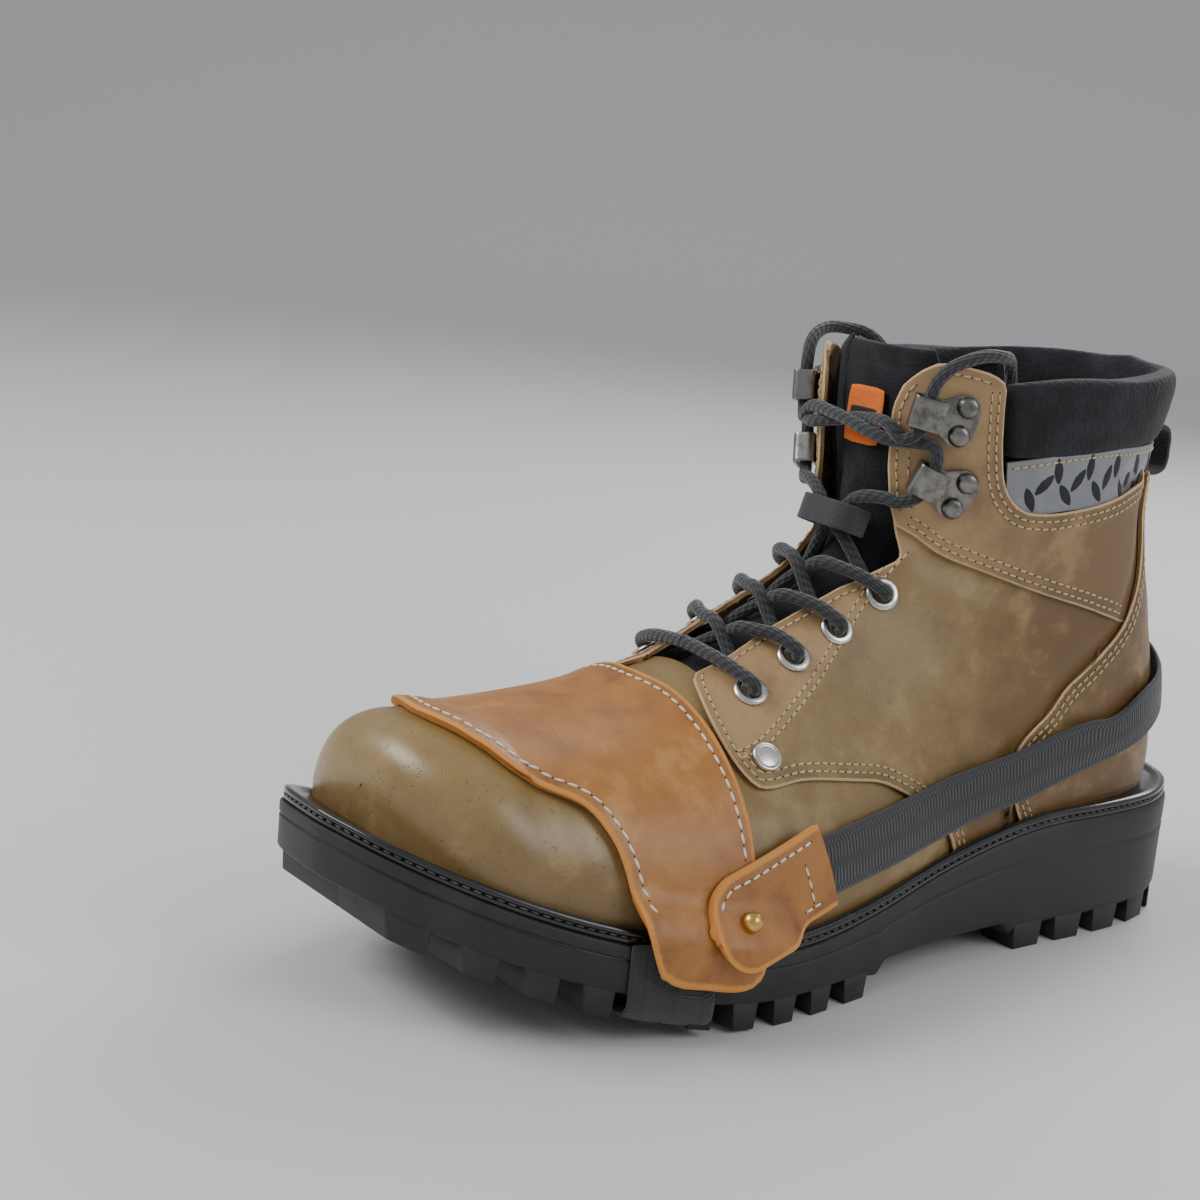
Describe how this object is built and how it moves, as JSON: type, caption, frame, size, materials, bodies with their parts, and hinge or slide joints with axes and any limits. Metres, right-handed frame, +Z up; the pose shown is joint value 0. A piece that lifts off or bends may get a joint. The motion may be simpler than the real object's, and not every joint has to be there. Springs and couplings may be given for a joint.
{
  "type": "steel toe work boot",
  "caption": "Left lace-up steel toe work boot with lugged sole, padded collar, hooks and eyelets, wearing a strapped-on leather gear shift guard.",
  "frame": {"origin": "middle of the bounding box's base, on the floor under the sole, free lace ends left out", "axes": "+Z up, -Y towards the toe and +Y towards the heel, +X towards the wearer's left, the outside of the foot"},
  "size_m": [0.135, 0.309, 0.1786],
  "materials": {
    "rubber_lugs": "matt moulded lug rubber",
    "rubber_welt": "glossy storm welt with stitch line",
    "leather_olive": "waxed pull-up leather, olive tan with fine pores",
    "leather_tan": "waxed leather, lighter tan, raw pale edges",
    "guard_leather": "orange-brown pull-up leather, rough orange edge, cream running stitch",
    "fibre_board": "pressed fibre board",
    "black_padding": "black padded textile",
    "reflective_cloth": "grey cloth with plain dark leaf shapes",
    "orange_cloth": "orange woven patch, plain",
    "black_webbing": "black woven elastic and webbing",
    "black_lace": "round braided black lace",
    "black_plastic": "lace tip sleeve",
    "nickel": "nickel plated, fine stippled rim",
    "gunmetal": "antique gunmetal plating",
    "brass": "polished domed brass",
    "steel": "pressed safety steel"
  },
  "bodies": {
    "root": {"outsole": "rubber_lugs", "steel_shank": "steel", "welt": "rubber_welt", "insole_board": "fibre_board", "footbed": "black_padding", "vamp": "leather_olive", "quarter_lateral": "leather_tan", "hook_panel_lateral": "leather_tan", "quarter_medial": "leather_tan", "hook_panel_medial": "leather_tan", "heel_counter_cover": "leather_olive", "collar_band": "reflective_cloth", "collar_pad": "black_padding", "steel_toe_cap": "steel", "heel_stiffener": "fibre_board", "lining": "black_padding", "tongue_lower": "black_padding", "eyelet_lateral_1": "nickel", "eyelet_lateral_2": "nickel", "eyelet_lateral_3": "nickel", "eyelet_lateral_4": "nickel", "hook_lateral_lower": "gunmetal", "rivet_lateral_lower_back": "gunmetal", "rivet_lateral_lower_front": "gunmetal", "hook_lateral_upper": "gunmetal", "rivet_lateral_upper_back": "gunmetal", "rivet_lateral_upper_front": "gunmetal", "vamp_rivet_lateral": "nickel", "eyelet_medial_1": "nickel", "eyelet_medial_2": "nickel", "eyelet_medial_3": "nickel", "eyelet_medial_4": "nickel", "hook_medial_lower": "gunmetal", "rivet_medial_lower_front": "gunmetal", "rivet_medial_lower_back": "gunmetal", "hook_medial_upper": "gunmetal", "rivet_medial_upper_front": "gunmetal", "rivet_medial_upper_back": "gunmetal", "vamp_rivet_medial": "nickel", "lace": "black_lace", "lace_keeper": "black_webbing", "stud_lateral": "brass", "stud_medial": "brass", "shift_guard": "guard_leather", "underfoot_band": "black_webbing", "lace_tail_lateral": "black_lace", "lace_tip_lateral": "black_plastic", "lace_tail_medial": "black_lace", "lace_tip_medial": "black_plastic"},
    "tongue": {"tongue_upper": "black_padding", "tongue_patch": "orange_cloth"},
    "loop": {"pull_loop": "black_webbing"},
    "strap": {"heel_strap": "black_webbing", "strap_tab_lateral": "guard_leather", "strap_tab_medial": "guard_leather"}
  },
  "joints": [
    {"name": "tongue_fold", "type": "hinge", "parent": "root", "child": "tongue", "pos_m": [-0.00288, 0.03303, 0.13116], "axis": [1, 0, 0], "range_deg": [-10, 0]},
    {"name": "loop_flap", "type": "hinge", "parent": "root", "child": "loop", "pos_m": [-0.00288, 0.12781, 0.14528], "axis": [1, 0, 0], "range_deg": [-25, 12]},
    {"name": "strap_swing", "type": "hinge", "parent": "root", "child": "strap", "pos_m": [-0.00288, -0.06023, 0.03283], "axis": [1, 0, 0], "range_deg": [-1, 6]}
  ]
}
